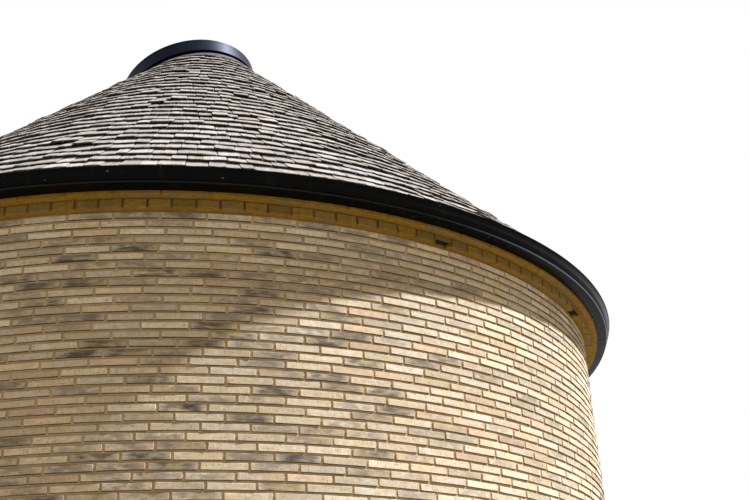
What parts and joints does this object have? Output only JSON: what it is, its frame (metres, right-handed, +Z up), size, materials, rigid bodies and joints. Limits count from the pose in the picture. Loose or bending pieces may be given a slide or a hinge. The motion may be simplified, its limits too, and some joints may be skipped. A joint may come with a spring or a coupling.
{
  "type": "round brick pool house",
  "caption": "Round hollow brick pool house with a corbelled cornice, a black eaves gutter, a conical shingled roof and a tilted elliptical rooflight.",
  "frame": {"origin": "centre of the drum's foot, on the ground", "axes": "+Z up along the drum's axis, -Y towards the front that the picture shows, +Y towards the doorway, +X to the right seen from the front"},
  "size_m": [6.6098, 6.61, 7.4585],
  "materials": {
    "buff_brick": "matte",
    "cornice_brick": "matte",
    "plaster": "matte",
    "floor_screed": "matte",
    "threshold_stone": "matte",
    "painted_timber": "satin",
    "ceiling_lining": "matte",
    "weathered_shingle": "matte",
    "black_gutter": "satin",
    "black_frame": "satin",
    "rooflight_glass": "polished",
    "lead_sheet": "matte"
  },
  "bodies": {
    "root": {"brick_over_door": "buff_brick", "brick_pier_left": "buff_brick", "brick_pier_right": "buff_brick", "brick_wall_back_left": "buff_brick", "brick_wall_back_right": "buff_brick", "brick_wall_front": "buff_brick", "brick_wall_front_left": "buff_brick", "brick_wall_front_right": "buff_brick", "cornice_header_course": "cornice_brick", "cornice_top_course": "cornice_brick", "door_lining": "painted_timber", "floor_slab": "floor_screed", "gutter_length_1": "black_gutter", "gutter_length_2": "black_gutter", "gutter_length_3": "black_gutter", "gutter_length_4": "black_gutter", "gutter_length_5": "black_gutter", "gutter_length_6": "black_gutter", "inner_over_door": "plaster", "inner_pier_left": "plaster", "inner_pier_right": "plaster", "inner_wall_back_left": "plaster", "inner_wall_back_right": "plaster", "inner_wall_front": "plaster", "inner_wall_front_left": "plaster", "inner_wall_front_right": "plaster", "lead_flashing": "lead_sheet", "pipe_clips": "black_gutter", "rainwater_pipe": "black_gutter", "ring_beam": "plaster", "roof_deck_1": "ceiling_lining", "roof_deck_2": "ceiling_lining", "roof_deck_3": "ceiling_lining", "roof_deck_4": "ceiling_lining", "rooflight_frame": "black_frame", "rooflight_glass": "rooflight_glass", "rooflight_upstand": "plaster", "shingle_field_1": "weathered_shingle", "shingle_field_2": "weathered_shingle", "shingle_field_3": "weathered_shingle", "shingle_field_4": "weathered_shingle", "shingle_field_5": "weathered_shingle", "shingle_field_6": "weathered_shingle", "threshold": "threshold_stone"}
  },
  "joints": []
}
